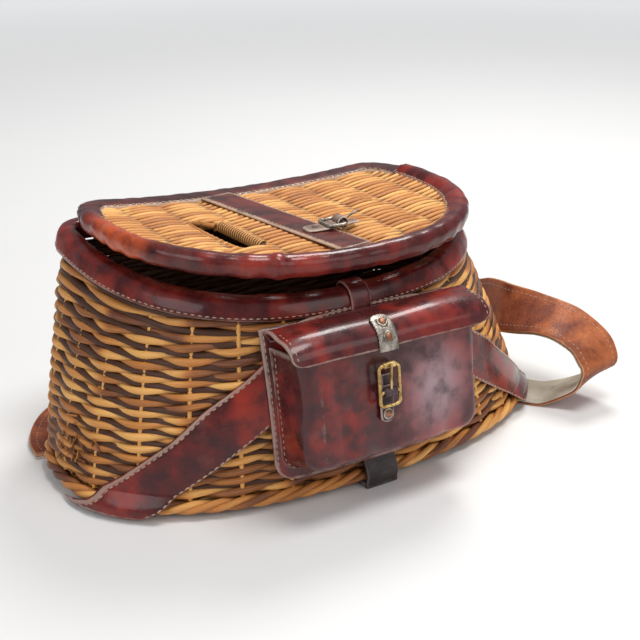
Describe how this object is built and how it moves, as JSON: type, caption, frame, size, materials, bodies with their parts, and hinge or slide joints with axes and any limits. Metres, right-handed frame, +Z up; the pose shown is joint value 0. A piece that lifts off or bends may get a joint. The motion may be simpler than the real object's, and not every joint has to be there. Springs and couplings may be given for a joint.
{
  "type": "wicker fishing creel",
  "caption": "Antique leather-bound willow creel with a hinged saddle lid, fish hole, front pouch with a buckled flap, harness band and a shoulder strap looped at one end.",
  "frame": {"origin": "on the floor under the middle of the basket's foot", "axes": "+X to the right end seen from the front, +Y to the hinged back, +Z up"},
  "size_m": [0.4223, 0.286, 0.1767],
  "materials": {
    "wicker": "varnished willow with brown stain",
    "harness_leather": "worn glossy oxblood",
    "strap_leather": "cracked red-brown",
    "felt": "cream felt",
    "dark_strap": "dull dark grey",
    "cane": "split cane",
    "brass": "aged",
    "zinc": "dull grey zinc",
    "copper": "tarnished copper"
  },
  "bodies": {
    "basket": {"basket_wall": "wicker", "base_panel": "wicker", "foot_border": "wicker", "rim_hoop": "wicker", "rim_binding": "harness_leather", "closing_tab": "harness_leather", "base_strap": "dark_strap", "base_strap_front": "dark_strap", "base_strap_back": "dark_strap", "harness_front": "harness_leather", "harness_under_left": "harness_leather", "shoulder_strap": "strap_leather", "shoulder_strap_lining": "felt", "pouch_back": "harness_leather", "pouch_front": "harness_leather", "pouch_buckle_chape": "harness_leather", "pouch_chape_rivet": "copper", "hinge_lower_left": "harness_leather", "hinge_lower_center": "harness_leather", "hinge_lower_right": "harness_leather"},
    "lid": {"lid_panel": "wicker", "lid_hoop": "wicker", "lid_binding_front": "harness_leather", "lid_binding_back": "harness_leather", "lid_center_band": "harness_leather", "fish_hole_wrap": "cane", "hinge_upper_left": "harness_leather", "hinge_upper_center": "harness_leather", "hinge_upper_right": "harness_leather", "lid_buckle_chape": "harness_leather", "lid_strap_stub": "harness_leather"},
    "lid_buckle": {"lid_buckle_frame": "zinc"},
    "lid_prong": {"lid_buckle_prong": "zinc"},
    "flap": {"pouch_flap": "harness_leather", "flap_plate": "zinc", "flap_rivets": "copper"},
    "pouch_buckle": {"pouch_buckle_frame": "brass"},
    "pouch_prong": {"pouch_buckle_prong": "brass"},
    "roller": {"pouch_buckle_roller": "brass"}
  },
  "joints": [
    {"name": "lid_hinge", "type": "hinge", "parent": "basket", "child": "lid", "pos_m": [-0.007, 0.1042, 0.16163], "axis": [-0.9998, 0, 0.018], "range_deg": [0, 110]},
    {"name": "flap_hinge", "type": "hinge", "parent": "basket", "child": "flap", "pos_m": [-0.0085, -0.08678, 0.12535], "axis": [-1, 0, 0], "range_deg": [0, 70]},
    {"name": "pouch_buckle_swing", "type": "hinge", "parent": "basket", "child": "pouch_buckle", "pos_m": [-0.017, -0.12692, 0.08555], "axis": [-1, 0, 0], "range_deg": [-10, 12]},
    {"name": "pouch_prong_swing", "type": "hinge", "parent": "pouch_buckle", "child": "pouch_prong", "pos_m": [-0.017, -0.12692, 0.08555], "axis": [1, 0, 0], "range_deg": [0, 120]},
    {"name": "pouch_roller_spin", "type": "hinge", "parent": "pouch_buckle", "child": "roller", "pos_m": [-0.017, -0.12446, 0.10298], "axis": [1, 0, 0], "continuous": true},
    {"name": "lid_buckle_swing", "type": "hinge", "parent": "lid", "child": "lid_buckle", "pos_m": [0.0085, -0.028, 0.16654], "axis": [0, 1, 0], "range_deg": [0, 90]},
    {"name": "lid_prong_swing", "type": "hinge", "parent": "lid", "child": "lid_prong", "pos_m": [0.0085, -0.028, 0.16654], "axis": [0, -1, 0], "range_deg": [0, 60]}
  ]
}
